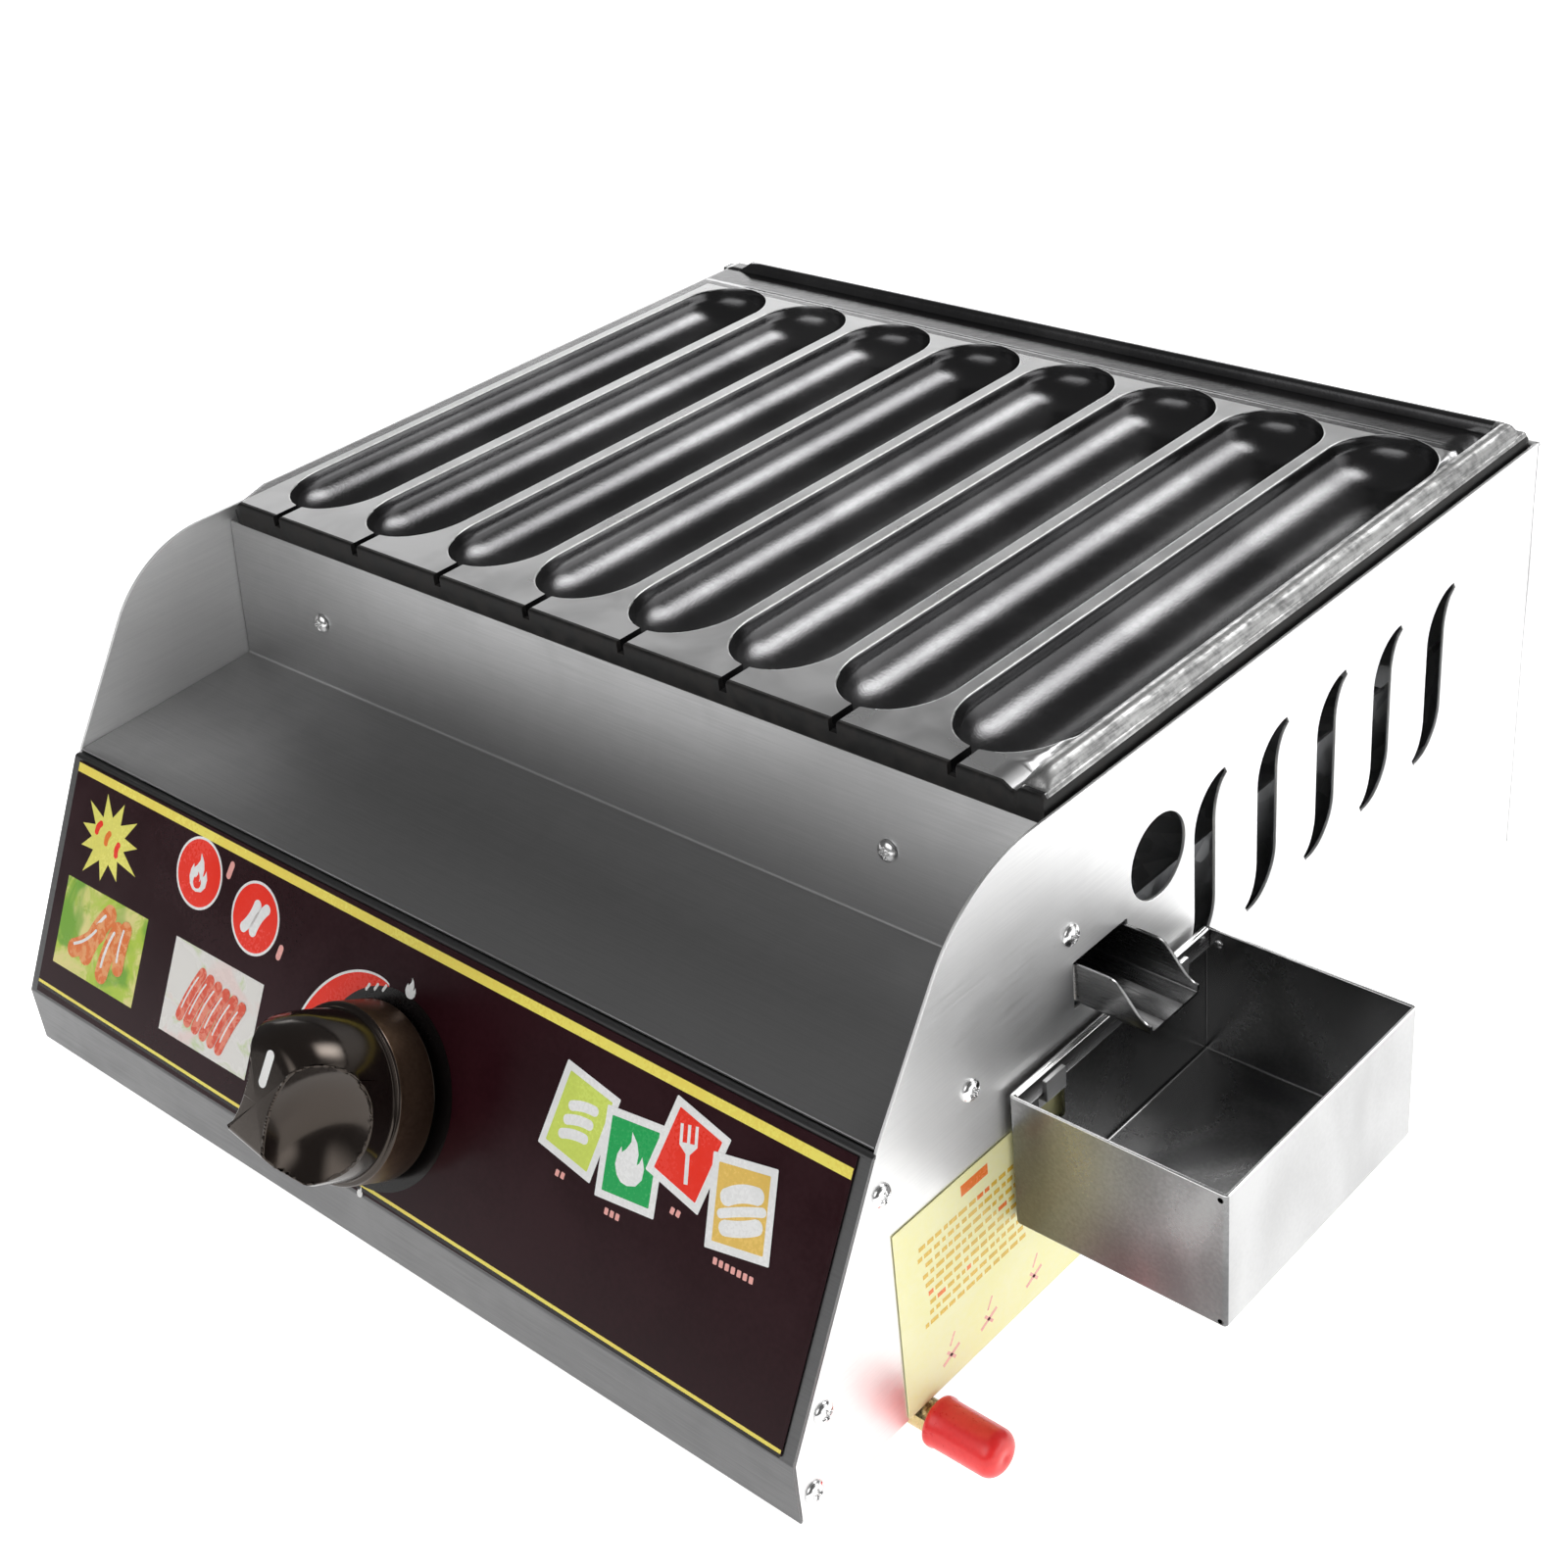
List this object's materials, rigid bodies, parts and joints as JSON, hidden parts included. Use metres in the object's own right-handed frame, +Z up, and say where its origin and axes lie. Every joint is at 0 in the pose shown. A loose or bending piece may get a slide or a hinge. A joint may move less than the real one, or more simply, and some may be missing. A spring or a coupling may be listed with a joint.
{
  "type": "gas hot dog grill",
  "caption": "Counter-top gas grill with a grooved cast plate for sausages, sloped control fascia with a knob, side grease spout and hanging drip box.",
  "frame": {"origin": "centre of the footprint of the whole object's bounding box, on the counter under the four feet", "axes": "+Z up, -Y to the front (the side with the knob), +X to the operator's right (the side with the drip box)"},
  "size_m": [0.4808, 0.4718, 0.2052],
  "materials": {
    "side_panel_right": "brushed stainless sheet",
    "side_panel_left": "brushed stainless sheet",
    "back_panel": "brushed stainless sheet",
    "base_pan": "galvanised sheet",
    "front_tray": "brushed stainless sheet",
    "front_fascia": "brushed stainless sheet",
    "fascia_overlay": "glossy printed film, dark maroon",
    "side_label": "pale yellow film label",
    "plate_rail_left": "galvanised sheet",
    "plate_rail_right": "galvanised sheet",
    "grease_trough": "brushed stainless sheet",
    "box_hook_front": "brushed stainless sheet",
    "box_hook_rear": "brushed stainless sheet",
    "gas_valve_body": "turned brass",
    "valve_spring": "brushed stainless sheet",
    "valve_bracket": "galvanised sheet",
    "gas_injector": "turned brass",
    "gas_supply_pipe": "turned brass",
    "gas_inlet_fitting": "turned brass",
    "burner_mixer": "dark burnt iron",
    "burner_cross_tube": "dark burnt iron",
    "burner_arm_left": "dark burnt iron",
    "burner_arm_right": "dark burnt iron",
    "burner_saddle_front": "galvanised sheet",
    "burner_saddle_rear": "galvanised sheet",
    "heat_shield": "galvanised sheet",
    "shield_leg_left": "galvanised sheet",
    "shield_leg_right": "galvanised sheet",
    "igniter_electrode": "white ceramic",
    "igniter_lead": "black insulated lead",
    "foot_front_left": "black rubber",
    "foot_front_right": "black rubber",
    "foot_rear_left": "black rubber",
    "foot_rear_right": "black rubber",
    "panel_screw_left_1": "bright screw steel",
    "panel_screw_left_2": "bright screw steel",
    "panel_screw_left_3": "bright screw steel",
    "panel_screw_left_4": "bright screw steel",
    "panel_screw_left_5": "bright screw steel",
    "panel_screw_right_1": "bright screw steel",
    "panel_screw_right_2": "bright screw steel",
    "panel_screw_right_3": "bright screw steel",
    "panel_screw_right_4": "bright screw steel",
    "panel_screw_right_5": "bright screw steel",
    "riser_screw_1": "bright screw steel",
    "riser_screw_2": "bright screw steel",
    "back_screw_1": "bright screw steel",
    "back_screw_2": "bright screw steel",
    "back_screw_3": "bright screw steel",
    "back_screw_4": "bright screw steel",
    "grill_plate": "black non-stick coating over a casting",
    "drip_box": "brushed stainless sheet",
    "valve_plunger": "turned brass",
    "knob": "glossy black moulding",
    "valve_stem": "bright screw steel",
    "inlet_cap": "red vinyl",
    "air_shutter": "galvanised sheet"
  },
  "bodies": {
    "casing": {"side_panel_right": "side_panel_right", "side_panel_left": "side_panel_left", "back_panel": "back_panel", "base_pan": "base_pan", "front_tray": "front_tray", "front_fascia": "front_fascia", "fascia_overlay": "fascia_overlay", "side_label": "side_label", "plate_rail_left": "plate_rail_left", "plate_rail_right": "plate_rail_right", "grease_trough": "grease_trough", "box_hook_front": "box_hook_front", "box_hook_rear": "box_hook_rear", "gas_valve_body": "gas_valve_body", "valve_spring": "valve_spring", "valve_bracket": "valve_bracket", "gas_injector": "gas_injector", "gas_supply_pipe": "gas_supply_pipe", "gas_inlet_fitting": "gas_inlet_fitting", "burner_mixer": "burner_mixer", "burner_cross_tube": "burner_cross_tube", "burner_arm_left": "burner_arm_left", "burner_arm_right": "burner_arm_right", "burner_saddle_front": "burner_saddle_front", "burner_saddle_rear": "burner_saddle_rear", "heat_shield": "heat_shield", "shield_leg_left": "shield_leg_left", "shield_leg_right": "shield_leg_right", "igniter_electrode": "igniter_electrode", "igniter_lead": "igniter_lead", "foot_front_left": "foot_front_left", "foot_front_right": "foot_front_right", "foot_rear_left": "foot_rear_left", "foot_rear_right": "foot_rear_right", "panel_screw_left_1": "panel_screw_left_1", "panel_screw_left_2": "panel_screw_left_2", "panel_screw_left_3": "panel_screw_left_3", "panel_screw_left_4": "panel_screw_left_4", "panel_screw_left_5": "panel_screw_left_5", "panel_screw_right_1": "panel_screw_right_1", "panel_screw_right_2": "panel_screw_right_2", "panel_screw_right_3": "panel_screw_right_3", "panel_screw_right_4": "panel_screw_right_4", "panel_screw_right_5": "panel_screw_right_5", "riser_screw_1": "riser_screw_1", "riser_screw_2": "riser_screw_2", "back_screw_1": "back_screw_1", "back_screw_2": "back_screw_2", "back_screw_3": "back_screw_3", "back_screw_4": "back_screw_4"},
    "grill_plate_body": {"grill_plate": "grill_plate"},
    "drip_box_body": {"drip_box": "drip_box"},
    "plunger": {"valve_plunger": "valve_plunger"},
    "knob_body": {"knob": "knob", "valve_stem": "valve_stem"},
    "cap": {"inlet_cap": "inlet_cap"},
    "shutter": {"air_shutter": "air_shutter"}
  },
  "joints": [
    {"name": "plate_lift", "type": "slide", "parent": "casing", "child": "grill_plate_body", "axis": [0, 0, 1], "range_m": [0, 0.06]},
    {"name": "drip_box_lift", "type": "slide", "parent": "casing", "child": "drip_box_body", "axis": [0, 0, 1], "range_m": [0, 0.0075]},
    {"name": "knob_push", "type": "slide", "parent": "casing", "child": "plunger", "axis": [0, 0.8784, -0.478], "range_m": [0, 0.003], "stiffness_N_per_m": 1500, "springref_m": -0.004, "deforming": ["valve_spring"]},
    {"name": "knob_turn", "type": "hinge", "parent": "plunger", "child": "knob_body", "pos_m": [-0.0351, -0.18213, 0.07848], "axis": [0, -0.8784, 0.478], "range_deg": [0, 180]},
    {"name": "inlet_cap_pull", "type": "slide", "parent": "casing", "child": "cap", "axis": [1, 0, 0], "range_m": [0, 0.035]},
    {"name": "air_shutter_turn", "type": "hinge", "parent": "casing", "child": "shutter", "pos_m": [-0.0351, -0.104, 0.05936], "axis": [0, 1, 0], "range_deg": [0, 60]}
  ]
}
